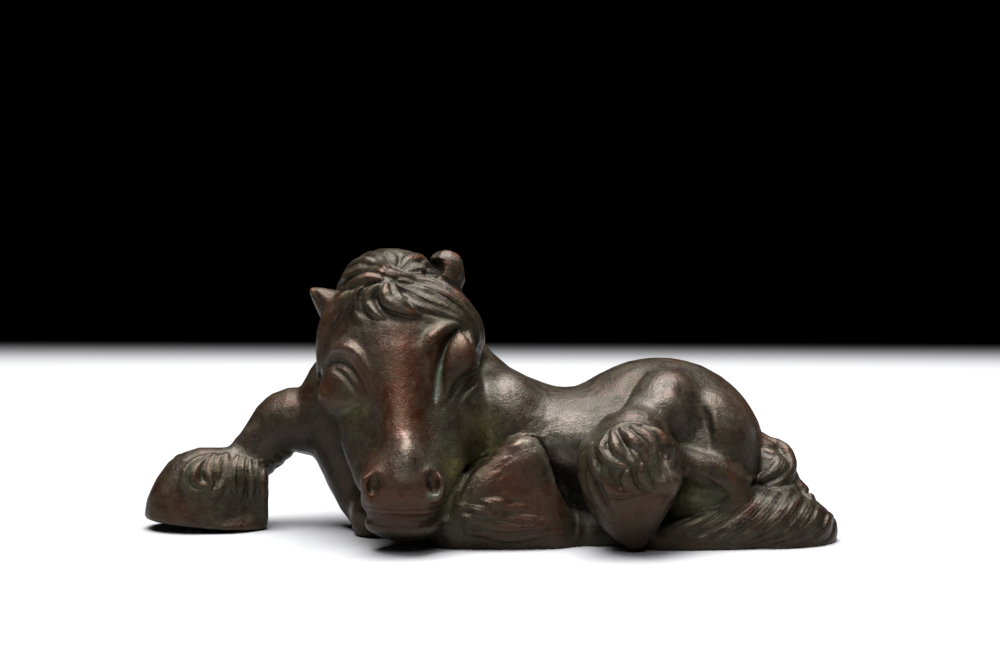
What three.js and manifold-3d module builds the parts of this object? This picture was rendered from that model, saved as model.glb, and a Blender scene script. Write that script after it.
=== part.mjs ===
import * as THREE from "three";
import { mergeVertices } from "three/addons/utils/BufferGeometryUtils.js";
import Module from "manifold-3d";

// A small bronze of a heavy, feather-footed horse lying down with its chin on the ground.
// It is one casting. Millimetres, +Z up. The face looks along -Y and the tail lies at +X.

// Driving dimensions: the joints and high points of the animal
const brow = [-16.5, -2, 32.5];
const noseBridge = [-15.4, -11.5, 21];
const muzzle = [-14.9, -14.4, 10.6];
const chin = [-14.4, -12.4, 4.5];
const shoulder = [-22.5, 11, 24.4];
const knee = [-36.4, 12, 18.4];
const fetlock = [-44, 11.8, 10.4];
const withers = [-2, 10, 21.6];
const backLow = [14.2, 8, 11.6];
const rump = [29.2, 6.5, 13];
const stifle = [29, -1.6, 21.2];
const hock = [41.2, -8.2, 11];

// Driving dimensions: thicknesses
const muzzleHalf = [7.1, 6.2, 6.4];
const nostrilHalf = [1.25, 3, 1.8];
const kneeRadius = 5.5;
const barrelRadius = 12.4;
const rumpHalf = [18.6, 15.4, 17.4];

// The stretched forefoot: a bell of hoof and feather, cut straight behind, its toe a little raised
const hoof = { heel: [-40.4, 11, 0], length: 22.2, width: 17, height: 14.2, toeLift: 2, turn: 12 };

// The hind foot that hangs in front of the belly, toe down
const hangingFoot = { fetlock: [24, -11.4, 18.2], middle: [23.6, -12.2, 13.4], toe: [24.2, -13.6, 3] };

// The eye that the marks on the skin are laid out for, on the upright plane y = 0
const frontEye = [1.4, -516, 99];

// How the skin is taken from the field of forms
const cell = 0.65;
const triangleGoal = 9700;
const fieldLow = [-64, -25, -1.5];
const fieldHigh = [63, 27, 52];
const nearReach = 5;
const underCut = 0.8;
const { clamp, degToRad, lerp } = THREE.MathUtils;

// A form is { at(x, y, z), low, high }: at gives about the distance to its skin in mm, negative
// inside, and low and high are its box. Far outside the box the distance to the box is enough.
function bounded(at, low, high) {
  const [lx, ly, lz] = low;
  const [hx, hy, hz] = high;
  const near = (x, y, z) => {
    const dx = x < lx ? lx - x : x > hx ? x - hx : 0;
    const dy = y < ly ? ly - y : y > hy ? y - hy : 0;
    const dz = z < lz ? lz - z : z > hz ? z - hz : 0;
    const away = dx * dx + dy * dy + dz * dz;
    return away > nearReach * nearReach ? Math.sqrt(away) : at(x, y, z);
  };
  return { at: near, low, high };
}

// An egg: an ellipsoid of three half sizes, turned by degrees about X, Y and Z.
function egg(centre, half, turn = [0, 0, 0]) {
  const euler = new THREE.Euler(...turn.map(degToRad));
  const e = new THREE.Matrix4().makeRotationFromEuler(euler).elements;
  const [cx, cy, cz] = centre;
  const [a, b, c] = half;
  const at = (px, py, pz) => {
    const x = px - cx;
    const y = py - cy;
    const z = pz - cz;
    const u = (e[0] * x + e[1] * y + e[2] * z) / a;
    const v = (e[4] * x + e[5] * y + e[6] * z) / b;
    const w = (e[8] * x + e[9] * y + e[10] * z) / c;
    const size = Math.sqrt(u * u + v * v + w * w);
    const slope = Math.sqrt((u * u) / (a * a) + (v * v) / (b * b) + (w * w) / (c * c));
    return slope < 1e-9 ? -Math.min(a, b, c) : (size * (size - 1)) / slope;
  };
  const reach = Math.max(a, b, c);
  return bounded(at, centre.map((k) => k - reach), centre.map((k) => k + reach));
}

// A smooth curve through knots of any number of values each, as a list of points on it.
function smooth(knots, steps) {
  const curveOf = (values) =>
    new THREE.CatmullRomCurve3(values.map((v) => new THREE.Vector3(v, 0, 0)), false, "catmullrom");
  const curves = knots[0].map((_, n) => curveOf(knots.map((knot) => knot[n])));
  return Array.from({ length: steps + 1 }, (_, i) => curves.map((c) => c.getPoint(i / steps).x));
}

// A round body along straight spans between nodes [x, y, z, radius].
function tube(nodes) {
  const low = [0, 1, 2].map((k) => Math.min(...nodes.map((n) => n[k] - n[3])));
  const high = [0, 1, 2].map((k) => Math.max(...nodes.map((n) => n[k] + n[3])));
  const spans = nodes.slice(1).map((b, i) => {
    const a = nodes[i];
    const d = [b[0] - a[0], b[1] - a[1], b[2] - a[2]];
    return Float64Array.of(...a, ...d, b[3] - a[3], 1 / (d[0] * d[0] + d[1] * d[1] + d[2] * d[2]));
  });
  const at = (x, y, z) => {
    let best = Infinity;
    for (const s of spans) {
      const px = x - s[0];
      const py = y - s[1];
      const pz = z - s[2];
      const t = clamp((px * s[4] + py * s[5] + pz * s[6]) * s[8], 0, 1);
      const qx = px - t * s[4];
      const qy = py - t * s[5];
      const qz = pz - t * s[6];
      const d = Math.sqrt(qx * qx + qy * qy + qz * qz) - s[3] - t * s[7];
      if (d < best) best = d;
    }
    return best;
  };
  return bounded(at, low, high);
}

// A limb: a round body along a smooth curve through knots [x, y, z, radius].
function limb(...knots) {
  return tube(knots.length > 2 ? smooth(knots, (knots.length - 1) * 4) : knots);
}

// Forms run together, with a fillet of about the given width where they meet.
function blend(width, ...forms) {
  const at = (x, y, z) => {
    let d = forms[0].at(x, y, z);
    for (let i = 1; i < forms.length; i++) {
      const other = forms[i].at(x, y, z);
      const h = Math.max(width - Math.abs(d - other), 0);
      d = Math.min(d, other) - (h * h) / (4 * width);
    }
    return d;
  };
  const low = [0, 1, 2].map((k) => Math.min(...forms.map((f) => f.low[k])));
  const high = [0, 1, 2].map((k) => Math.max(...forms.map((f) => f.high[k])));
  return bounded(at, low, high);
}

// A form with others taken out of it, with an edge rounded by about the given width.
function carve(width, form, ...tools) {
  const at = (x, y, z) => {
    let d = form.at(x, y, z);
    for (const tool of tools) {
      const other = -tool.at(x, y, z);
      const h = Math.max(width - Math.abs(d - other), 0);
      d = Math.max(d, other) + (h * h) / (4 * width);
    }
    return d;
  };
  return bounded(at, form.low, form.high);
}

// The half space on the side of a plane that its normal points to.
function beyond(point, normal) {
  const n = new THREE.Vector3(...normal).normalize();
  const offset = n.dot(new THREE.Vector3(...point));
  return { at: (x, y, z) => offset - n.x * x - n.y * y - n.z * z };
}

// A form made about the origin and then put in place: narrowed across Y, turned about Z, moved.
function placed(form, where, turn, narrow = 1) {
  const c = Math.cos(degToRad(turn));
  const s = Math.sin(degToRad(turn));
  const reach = Math.max(...form.low.map(Math.abs), ...form.high.map(Math.abs));
  const at = (x, y, z) => {
    const px = x - where[0];
    const py = y - where[1];
    return form.at(c * px + s * py, (c * py - s * px) / narrow, z - where[2]) * narrow;
  };
  return bounded(at, where.map((k) => k - reach), where.map((k) => k + reach));
}

// Where the line of sight through a point [x, z] of the front view meets a form, or else passes
// nearest to it.
function sighted(form, [x, z]) {
  const eye = new THREE.Vector3(...frontEye);
  const sight = new THREE.Vector3(x, 0, z).sub(eye).normalize();
  const point = eye.clone().addScaledVector(sight, (fieldLow[1] - 4 - eye.y) / sight.y);
  let nearest = point.toArray();
  let least = Infinity;
  while (least > 0.01 && point.y < fieldHigh[1]) {
    const d = form.at(...point.toArray());
    if (d < least) nearest = point.toArray();
    least = Math.min(least, d);
    point.addScaledVector(sight, Math.max(d * 0.8, 0.05));
  }
  return nearest;
}

// The direction out of a form at a point of its skin.
function outward(form, [x, y, z]) {
  const step = 0.05;
  const slope = [
    form.at(x + step, y, z) - form.at(x - step, y, z),
    form.at(x, y + step, z) - form.at(x, y - step, z),
    form.at(x, y, z + step) - form.at(x, y, z - step),
  ];
  return new THREE.Vector3(...slope).normalize();
}

// A strand on the skin along a path of the front view. It stands so high out of the skin in its
// middle (a groove where that is negative), and runs out towards its ends.
function strand(form, path, radius, rise) {
  const steps = 3 * (path.length - 1);
  const nodes = smooth(path, steps).map((point, i) => {
    const fullness = Math.sin(Math.PI * lerp(0.03, 0.92, i / steps)) ** 0.6;
    const thick = radius * lerp(0.5, 1, fullness);
    const skin = new THREE.Vector3(...sighted(form, point));
    const lift = Math.sign(rise) * (Math.abs(rise) * fullness - thick);
    return [...skin.addScaledVector(outward(form, skin.toArray()), lift).toArray(), thick];
  });
  return { ...tube(nodes), isGroove: rise < 0 };
}

// Locks side by side: strands spread between two paths of the front view.
function locks(form, first, last, count, radius, rise) {
  return Array.from({ length: count }, (_, i) => {
    const share = i / (count - 1);
    const path = first.map((point, n) => point.map((v, k) => lerp(v, last[n][k], share)));
    const uneven = 1 + 0.2 * Math.sin(2.4 * i);
    return strand(form, path, radius, rise * uneven);
  });
}

function makeHead() {
  const skull = egg([-16.4, 3.5, 33], [13.2, 9.6, 10]);
  const bridge = limb(
    [...brow, 7], [-16, -7.2, 26.5, 4.7], [...noseBridge, 3.3], [-14.6, -14.6, 16.4, 3.4]);
  const leftCheek = limb([-22.6, 0, 28, 5.4], [-21.4, -4.6, 19, 4.8], [-19.2, -9, 12.5, 4.3]);
  const rightCheek = limb([-9, -0.8, 29, 5.8], [-8.6, -5, 20, 5.2], [-9.8, -9.2, 12.5, 4.5]);
  const jowl = egg([-5.4, -1.4, 20.5], [6, 6.8, 8.4]);
  const jaw = limb([-16, 2, 19, 8.5], [-14.6, -7.4, 8.6, 6.2]);
  const nose = egg(muzzle, muzzleHalf, [-12, 0, 0]);
  const lip = egg(chin, [7, 5.8, 3.5]);
  const leftLid = egg([-26, -3.2, 25.8], [4, 3.8, 4], [0, 25, 0]);
  const rightLid = egg([-6.2, -4.2, 30.4], [3.3, 3.4, 4.8], [0, 20, 0]);
  const face = blend(2, blend(6, skull, bridge, leftCheek, rightCheek), jowl, jaw);
  const full = blend(1.2, blend(2.2, face, nose), lip, leftLid, rightLid);
  const rims = [-19.9, -9.9].map((x) => egg([x, -17.2, 12], [2.2, 3, 3.2]));
  const nostrils = [-20, -9.8].map((x) => egg([x, -20.4, 12], nostrilHalf, [0, x < -15 ? 12 : -12, 0]));
  return carve(0.7, blend(1, full, ...rims), ...nostrils);
}

function makeMane() {
  const crest = egg([-17.6, 11, 39.4], [10.2, 8.6, 9.8]);
  const fall = egg([-11.4, 4.4, 36], [10.6, 8.8, 8.6], [0, 35, 0]);
  const forelock = limb([-17.6, 0.5, 43, 3.8], [-17.2, -2.2, 40.8, 3], [-14.6, -4.2, 38.8, 1.8]);
  const leftHair = limb([-20.4, 2, 42, 4.4], [-26.4, 1.5, 36.5, 3.6], [-28.4, 1.5, 30, 1.6]);
  const downNeck = limb([-17.4, 14, 40, 7.4], [-15, 19, 33, 5.6], [-11, 21, 25, 4.2], [-5, 19, 19, 2.4]);
  return blend(2, crest, fall, forelock, leftHair, downNeck);
}

function makeEars() {
  const left = limb([-24.6, 3.6, 37.8, 3.8], [-27.6, 4.2, 39.8, 2.8], [-31, 4.6, 42.4, 0.8]);
  const right = limb([-12, 6, 42.4, 3], [-8.7, 6.4, 43.8, 3.3], [-7.9, 6.4, 46.3, 2.5]);
  const hollow = egg([-11.2, 3, 46.4], [2.8, 3, 1.5], [0, -16, 0]);
  return carve(0.6, blend(1.5, left, right), hollow);
}

function makeTrunk() {
  const neck = limb([-9, 12, 18, 13.2], [-13, 11.5, 28, 12.2], [-16, 9, 36, 9.6]);
  const wither = limb([...withers, 8], [6, 9, 16.6, 8.6]);
  const barrel = limb(
    [-6, 8, 13, barrelRadius + 1], [...backLow, barrelRadius], [24, 7, 13, barrelRadius]);
  const ribs = egg([14.6, 1.6, 17.2], [10, 8, 7.4], [0, 6, 0]);
  const shoulderBlade = egg([3, 0.8, 20.2], [6.6, 7.4, 8.6], [0, -14, 0]);
  const chest = limb([-25, 10, 17, 7.8], [-19.4, 7, 5, 6.6], [-10, 4, 5, 8]);
  const farHaunch = egg([31, 14, 12], [14, 9, 12.6]);
  const behind = blend(2.2, neck, egg(rump, rumpHalf), farHaunch);
  const recess = egg([11, -9.6, 5.6], [7, 8, 9.4]);
  return carve(1.6, blend(4, behind, wither, barrel, ribs, shoulderBlade, chest), recess);
}

function makeHaunch() {
  const thigh = egg([38.6, -0.8, 15.4], [7.2, 8.4, 11.2], [0, -14, 0]);
  const stifleForm = egg(stifle, [7, 8, 8.6], [0, 28, 0]);
  const gaskin = limb(
    [29, -9.4, 15.6, 2.8], [35, -9.8, 13.2, 2.6], [...hock, 2.6], [41.6, -7.6, 7.6, 2.8]);
  const inner = egg([35.6, -6.2, 8.6], [7, 4.2, 5.6]);
  const groundLeg = limb([42, -8.4, 1.6, 4.2], [34, -9.2, 1.2, 4.2], [29, -9.2, 1.2, 4.2]);
  return blend(0.8, blend(1.6, thigh, stifleForm, gaskin), inner, groundLeg);
}

function makeHangingFoot() {
  const { fetlock: top, middle, toe } = hangingFoot;
  const horn = limb([...top, 6.2], [...middle, 8.6], [23.4, -12.9, 9, 6.9], [...toe, 2.8]);
  const pastern = egg([22.6, -10.4, 20], [4, 4.4, 3.7]);
  const shin = egg([25.6, -6.6, 20.8], [4.6, 4.6, 4.4]);
  const bulb = egg([30, -13.2, 13.8], [2.4, 3, 3]);
  const sole = beyond([32.2, -12.5, 13.6], [0.86, 0.3, -0.43]);
  return blend(0.9, carve(0.6, blend(1.4, horn, bulb), sole), pastern, shin);
}

function makeStretchedLeg() {
  const { heel, length, width, height, toeLift, turn } = hoof;
  const upperArm = [[...shoulder, 10], [-30, 11.5, 19, 6.6]];
  const arm = limb(...upperArm, [...knee, kneeRadius], [-40.6, 12, 13.9, 4.6], [...fetlock, 4]);
  const toe = length * 0.55;
  const front = toe - length;
  const bell = limb([front, 0, 0, toe], [front - 0.6, 0, height / 2, height / 2], [2, 0, 4, 9]);
  const back = beyond([0, 0, 0], [1, 0, 0]);
  const sole = beyond([0, 0, 0], [-toeLift / length, 0, -1]);
  const foot = placed(carve(0.7, bell, back, sole), heel, turn, width / 2 / toe);
  return blend(1.2, foot, arm);
}

function makeFoldedForeleg() {
  const upper = limb([5, -8, 14.2, 3.6], [0, -8, 9, 5.2], [-6, -7.6, 4.4, 5.2]);
  const lower = limb([5, -8, 14.2, 3.6], [8, -7.6, 7, 4.8], [10.4, -6, 2, 5]);
  const base = limb([-6, -7, 3, 5.4], [3, -7.6, 3, 5.4], [9, -6.6, 2, 5]);
  const edge = beyond([12, -9, 8.8], [0.9, 0.1, 0.43]);
  const wall = limb([10, -4.6, 1, 4.4], [21, -5.4, 1, 4.4]);
  const kneeBehindChin = egg([-21.6, 2.4, 3.6], [3.2, 5.6, 5]);
  return blend(1.6, carve(0.7, blend(3, upper, lower, base), edge), wall, kneeBehindChin);
}

function makeTail() {
  const root = limb([46.4, 4, 12.6, 4.4], [48.2, 1, 9.4, 4.6], [49.4, -2, 4, 5]);
  const switchForm = egg([46.6, -4.6, 2], [12.6, 7.2, 6.8], [0, 12, 0]);
  const tip = limb([50.6, -4, 3.2, 4.3], [56.2, -3.6, 2.2, 3.4]);
  return blend(1.6, root, switchForm, tip);
}

function makeFarHind() {
  const shank = limb([43, 15, 5, 5.6], [33, 19, 4.4, 4.6], [23, 20.5, 3, 3], [17, 20, 3, 3.4]);
  const foot = limb([17, 20, 3.4, 4], [11.4, 19.6, 2.4, 4.6]);
  return blend(1.2, shank, foot);
}

function maneStrands(form) {
  const leftOuter = [[-17.4, 45.6], [-19.8, 47.6], [-22.8, 46.8], [-25.4, 44.2]];
  const leftInner = [[-18, 44.8], [-20.8, 45], [-23.6, 43.4], [-25.8, 41.4]];
  const shortOuter = [[-18.8, 44.4], [-22.2, 43.4], [-25, 41], [-26.6, 38.4]];
  const shortInner = [[-18.4, 43.8], [-20.4, 42], [-20.8, 39.8], [-18.8, 38]];
  const rightTop = [[-15, 45.4], [-10.4, 44.2], [-6.6, 41.8], [-3.8, 38.4], [-2.8, 34]];
  const rightLow = [[-15.4, 42.8], [-12.8, 39.8], [-9.4, 37.4], [-6, 35.4], [-4.6, 31.4]];
  const centre = [[-17.2, 44.4], [-18.4, 42.6], [-17.6, 40.6], [-15.4, 39.8], [-13.4, 38.9]];
  const besideFace = [[-24, 43], [-27.6, 39.2], [-29.6, 34], [-29.8, 28.4]];
  return [
    ...locks(form, leftOuter, leftInner, 2, 1.3, 1.2),
    ...locks(form, shortOuter, shortInner, 3, 1.4, 1.3),
    ...locks(form, rightTop, rightLow, 3, 1.5, 1.4),
    strand(form, centre, 1.5, 1.7),
    strand(form, besideFace, 1.2, 0.8),
  ];
}

function faceStrands(form) {
  const leftBrow = [[-29, 31.6], [-27.2, 33.2], [-25, 32.6], [-23.2, 30.2], [-21.6, 26.8], [-20, 23]];
  const leftCrease = [[-28.6, 30.8], [-26.2, 30.6], [-24.2, 28.6], [-22.6, 25.2], [-21.4, 22.6]];
  const leftUnderLid = [[-28.6, 23], [-26.3, 21.9], [-22.8, 22.2]];
  const rightBrow = [[-11.8, 33], [-10.2, 34.8], [-8.2, 36.2], [-6, 36.2]];
  const rightCrease = [[-6, 35.2], [-7.6, 33.2], [-8.9, 30.4], [-9.6, 26.9], [-10.2, 22.6]];
  const rightUnderLid = [[-3, 29.3], [-5, 27.8], [-6.6, 26.8], [-8, 24.4]];
  const mouth = [[-21.2, 4.1], [-18.6, 3.2], [-12.5, 3], [-8, 3.6]];
  const upperLip = [[-20.6, 5.6], [-16, 5], [-8.6, 5.6]];
  return [
    strand(form, leftBrow, 1.7, 0.7),
    strand(form, leftCrease, 0.9, -0.5),
    strand(form, leftUnderLid, 1, -0.5),
    strand(form, rightBrow, 1.6, 0.8),
    strand(form, rightCrease, 1, -0.6),
    strand(form, rightUnderLid, 1, -0.6),
    strand(form, mouth, 0.9, -0.6),
    strand(form, upperLip, 0.8, -0.25),
  ];
}

function featherStrands(form) {
  const bellFirst = [[-50.4, 13.8], [-52.6, 12.2], [-53.6, 9.8], [-52.8, 7.2]];
  const bellMiddle = [[-46.4, 14], [-47.2, 12], [-47.6, 9.8], [-47.2, 7.6]];
  const bellLast = [[-41, 13.6], [-40.2, 11.4], [-39.6, 8.8], [-39.8, 6]];
  const hangFirst = [[20.2, 18.4], [18, 15.2], [17, 11], [18.4, 6.8]];
  const hangMiddle = [[22.2, 19], [21.6, 16.2], [22, 13], [25, 9.8]];
  const hangLast = [[27.6, 18.8], [29.8, 17], [31, 14.6], [30.6, 12.4]];
  const sweepTop = [[4.2, 15.6], [0.6, 13.4], [-2.8, 10.6], [-6.2, 7.2]];
  const sweepLow = [[3, 10.6], [-0.6, 8.8], [-3.6, 6.8], [-6, 4.4]];
  const baseTop = [[7.4, 7.4], [3, 6.8], [-1.2, 5], [-4.8, 3]];
  const baseLow = [[10, 2], [5, 1.9], [0.6, 1.4], [-4, 0.6]];
  return [
    ...locks(form, bellFirst, bellMiddle, 5, 0.9, 0.8),
    ...locks(form, bellMiddle, bellLast, 5, 0.9, 0.8).slice(1),
    ...locks(form, hangFirst, hangMiddle, 4, 1.1, 1.1),
    ...locks(form, hangMiddle, hangLast, 4, 1.1, 1.1).slice(1),
    ...locks(form, sweepTop, sweepLow, 3, 1, 0.5),
    ...locks(form, baseTop, baseLow, 4, 1, 0.5),
  ];
}

function bodyStrands(form) {
  const flankFold = [[26.4, 29], [24.5, 27.2], [23.2, 24.4], [21.8, 22]];
  const thighGroove = [[31.4, 27], [33.6, 24.4], [35.5, 21.6], [36.7, 18.2], [37.1, 14.6]];
  return [strand(form, flankFold, 1.8, -0.8), strand(form, thighGroove, 2.2, -1.2)];
}

function tailStrands(form) {
  const first = [[45.6, 7.6], [40, 4.8], [34.6, 2.8], [30, 1.4]];
  const middle = [[53.6, 9], [50.6, 6.6], [47.8, 4], [45, 1]];
  const last = [[57.2, 5.4], [57.8, 3.6], [57.4, 2.2], [56.4, 1]];
  const outerCurl = [[47.8, 16.6], [50.4, 15.4], [51.6, 12.7], [50, 11]];
  const innerCurl = [[47.1, 14.8], [48.8, 13.1], [48.2, 11], [46.5, 9.9]];
  return [
    ...locks(form, first, middle, 5, 1.3, 0.8),
    ...locks(form, middle, last, 5, 1.3, 0.8).slice(1),
    strand(form, outerCurl, 1.4, 0.8),
    strand(form, innerCurl, 1.2, 0.7),
  ];
}

const bareHorse = blend(
  1.2, makeTrunk(), blend(1, makeHead(), makeMane(), makeEars()), makeHaunch(), makeHangingFoot(),
  makeStretchedLeg(), makeFoldedForeleg(), makeTail(), makeFarHind());
const strandMakers = [maneStrands, faceStrands, featherStrands, bodyStrands, tailStrands];
const strands = strandMakers.flatMap((make) => make(bareHorse));
const dressed = blend(0.5, bareHorse, ...strands.filter((s) => !s.isGroove));
const grooved = carve(0.8, dressed, ...strands.filter((s) => s.isGroove));
const figure = carve(0.01, grooved, beyond([0, 0, -underCut], [0, 0, -1]));

// The field's values at the corners of a grid of cells. Where a block's middle is too far from
// the skin for the skin to reach its corners, the block takes the middle's value.
function sample(form) {
  const block = 4;
  const blockReach = block * cell * 1.4;
  const count = fieldLow.map((low, k) => Math.ceil((fieldHigh[k] - low) / cell / block) * block);
  const values = new Float32Array(count[0] * count[1] * count[2]);
  const valueAt = (...corner) => form.at(...corner.map((n, k) => fieldLow[k] + n * cell));
  const half = (block - 1) / 2;
  for (let k = 0; k < count[2]; k += block)
    for (let j = 0; j < count[1]; j += block)
      for (let i = 0; i < count[0]; i += block) {
        const middle = valueAt(i + half, j + half, k + half);
        const isFar = Math.abs(middle) > blockReach;
        for (let n = 0; n < block ** 3; n++) {
          const a = i + (n % block);
          const b = j + (Math.floor(n / block) % block);
          const c = k + Math.floor(n / block ** 2);
          values[a + count[0] * (b + count[1] * c)] = isFar ? middle : valueAt(a, b, c);
        }
      }
  return { count, values };
}

// The zero surface of a sampled field as triangles. Each cell is six tetrahedra round its
// diagonal, so the surface is always closed and never meets itself along an edge.
function polygonize({ count, values }) {
  const stride = [1, count[0], count[0] * count[1]];
  const cornerStep = Array.from({ length: 8 }, (_, corner) =>
    stride.reduce((sum, s, k) => sum + ((corner >> k) & 1) * s, 0));
  const turns = [[1, 2], [2, 4], [4, 1]].map(([a, b]) => [0, a, a + b, 7]);
  const mirrored = [[2, 1], [1, 4], [4, 2]].map(([a, b]) => [0, a + b, a, 7]);
  const tetrahedra = [...turns, ...mirrored].map((corners) => corners.map((n) => cornerStep[n]));
  const loneFirst = [[0, 1, 2, 3], [1, 0, 3, 2], [2, 3, 0, 1], [3, 2, 1, 0]];
  const pairFirst = {
    3: [0, 1, 2, 3],
    5: [0, 2, 3, 1],
    9: [0, 3, 1, 2],
    6: [1, 2, 0, 3],
    10: [1, 3, 2, 0],
    12: [2, 3, 0, 1],
  };
  const positions = [];
  const faces = [];
  const known = new Map();
  const crossing = (a, b) => {
    const key = Math.min(a, b) * values.length + Math.max(a, b);
    if (known.has(key)) return known.get(key);
    const t = clamp(values[a] / (values[a] - values[b]), 0.04, 0.96);
    for (const k of [0, 1, 2]) {
      const [from, to] = [a, b].map((n) => Math.floor(n / stride[k]) % count[k]);
      positions.push(fieldLow[k] + cell * lerp(from, to, t));
    }
    known.set(key, positions.length / 3 - 1);
    return positions.length / 3 - 1;
  };
  const addTetrahedron = (v) => {
    const inside = v.map((n) => values[n] < 0);
    const mask = inside.reduce((sum, within, n) => sum + (within << n), 0);
    const number = inside.filter(Boolean).length;
    if (number === 2) {
      const [a, b, c, d] = pairFirst[mask].map((n) => v[n]);
      const [ac, ad, bd, bc] = [crossing(a, c), crossing(a, d), crossing(b, d), crossing(b, c)];
      faces.push(ac, ad, bd, ac, bd, bc);
    } else if (number % 4) {
      const [a, ...others] = loneFirst[inside.indexOf(number === 1)].map((n) => v[n]);
      const face = others.map((other) => crossing(a, other));
      faces.push(...(number === 1 ? face : face.reverse()));
    }
  };
  for (let k = 0; k < count[2] - 1; k++)
    for (let j = 0; j < count[1] - 1; j++)
      for (let i = 0; i < count[0] - 1; i++) {
        const base = i + j * stride[1] + k * stride[2];
        const first = values[base] < 0;
        if (cornerStep.some((step) => values[base + step] < 0 !== first))
          for (const corners of tetrahedra) addTetrahedron(corners.map((step) => base + step));
      }
  return { positions: Float64Array.from(positions), faces: Int32Array.from(faces) };
}

// Evens out the steps that the cells leave: each vertex goes half way to the middle of its
// neighbours, and then a little more than that back.
function relax({ positions, faces }, rounds) {
  for (let round = 0; round < 2 * rounds; round++) {
    const share = round % 2 ? -0.53 : 0.5;
    const sums = new Float64Array(positions.length);
    const neighbours = new Int32Array(positions.length / 3);
    faces.forEach((a, n) => {
      const b = faces[n % 3 === 2 ? n - 2 : n + 1];
      neighbours[a]++;
      for (let k = 0; k < 3; k++) sums[3 * a + k] += positions[3 * b + k];
    });
    positions.forEach((v, n) => {
      positions[n] += share * (sums[n] / neighbours[Math.floor(n / 3)] - v);
    });
  }
  return { positions, faces };
}

// Thins a closed mesh to a number of triangles by merging the edges that change its shape least.
// What a vertex may move from is kept as a quadric: the squared distance to the planes round it.
function thin({ positions, faces }, goal) {
  const terms = 10;
  const quadrics = new Float64Array((positions.length / 3) * terms);
  const point = (i) => [positions[3 * i], positions[3 * i + 1], positions[3 * i + 2]];
  const cornersOf = (f) => [faces[f], faces[f + 1], faces[f + 2]];
  const dot = (a, b) => a[0] * b[0] + a[1] * b[1] + a[2] * b[2];
  const crossOf = ([a, b, c]) => {
    const [ux, uy, uz] = [b[0] - a[0], b[1] - a[1], b[2] - a[2]];
    const [vx, vy, vz] = [c[0] - a[0], c[1] - a[1], c[2] - a[2]];
    return [uy * vz - uz * vy, uz * vx - ux * vz, ux * vy - uy * vx];
  };
  for (let f = 0; f < faces.length; f += 3) {
    const corners = cornersOf(f);
    const places = corners.map(point);
    const cross = crossOf(places);
    const area = Math.hypot(...cross) + 1e-12;
    const [x, y, z] = cross.map((v) => v / area);
    const w = -dot([x, y, z], places[0]);
    const quadric = [x * x, x * y, x * z, x * w, y * y, y * z, y * w, z * z, z * w, w * w];
    for (const corner of corners) quadric.forEach((v, n) => (quadrics[corner * terms + n] += v * area));
  }
  const bestPlace = (i, j) => {
    const q = Array.from({ length: terms }, (_, n) => quadrics[i * terms + n] + quadrics[j * terms + n]);
    const error = ([x, y, z]) =>
      q[0] * x * x + q[4] * y * y + q[7] * z * z + q[9] +
      2 * (q[1] * x * y + q[2] * x * z + q[3] * x + q[5] * y * z + q[6] * y + q[8] * z);
    const [a, b] = [point(i), point(j)];
    const between = a.map((v, n) => (v + b[n]) / 2);
    const length = Math.hypot(...a.map((v, n) => v - b[n]));
    const choices = [between, a, b];
    const matrix = new THREE.Matrix3().set(q[0], q[1], q[2], q[1], q[4], q[5], q[2], q[5], q[7]);
    if (Math.cbrt(Math.abs(matrix.determinant())) > 0.02 * (q[0] + q[4] + q[7])) {
      const solved = new THREE.Vector3(-q[3], -q[6], -q[8]).applyMatrix3(matrix.invert()).toArray();
      if (Math.hypot(...solved.map((v, n) => v - between[n])) < length) choices.push(solved);
    }
    const errors = choices.map(error);
    const least = Math.min(...errors);
    return { place: choices[errors.indexOf(least)], cost: least + 1e-4 * length * length };
  };
  const isSound = (f, a, b, place) => {
    const corners = cornersOf(f);
    const before = crossOf(corners.map(point));
    const after = crossOf(corners.map((v) => (v === a || v === b ? place : point(v))));
    const sizes = Math.hypot(...before) * Math.hypot(...after);
    return dot(before, after) > 0.35 * sizes && Math.hypot(...after) > 1e-4;
  };
  while (faces.length / 3 > goal) {
    const around = Array.from({ length: positions.length / 3 }, () => []);
    faces.forEach((v, n) => around[v].push(n - (n % 3)));
    const edges = [];
    for (let n = 0; n < faces.length; n++) {
      const [a, b] = [faces[n], faces[n % 3 === 2 ? n - 2 : n + 1]];
      if (a < b) edges.push({ a, b, ...bestPlace(a, b) });
    }
    edges.sort((p, q) => p.cost - q.cost);
    const busy = new Uint8Array(positions.length / 3);
    const gone = new Uint8Array(faces.length / 3);
    let left = faces.length / 3;
    for (const { a, b, place } of edges.slice(0, Math.ceil(edges.length * 0.35))) {
      if (left <= goal || busy[a] || busy[b]) continue;
      const [ringA, ringB] = [a, b].map((v) => new Set(around[v].flatMap(cornersOf)));
      const ring = new Set([...ringA, ...ringB]);
      if (ringA.size + ringB.size - ring.size !== 4 || [...ring].some((v) => busy[v])) continue;
      const faceSet = [...new Set([...around[a], ...around[b]])];
      const closing = faceSet.filter((f) => cornersOf(f).includes(a) && cornersOf(f).includes(b));
      if (!faceSet.every((f) => closing.includes(f) || isSound(f, a, b, place))) continue;
      for (const f of around[b])
        for (let n = f; n < f + 3; n++) if (faces[n] === b) faces[n] = a;
      for (const f of closing) gone[f / 3] = 1;
      left -= closing.length;
      positions.set(place, 3 * a);
      for (let n = 0; n < terms; n++) quadrics[a * terms + n] += quadrics[b * terms + n];
      for (const v of ring) busy[v] = 1;
    }
    faces = faces.filter((_, n) => !gone[Math.floor(n / 3)]);
  }
  return new THREE.BufferGeometry()
    .setAttribute("position", new THREE.BufferAttribute(Float32Array.from(positions), 3))
    .setIndex(new THREE.BufferAttribute(Uint32Array.from(faces), 1));
}

const wasm = await Module();
wasm.setup();

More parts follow.
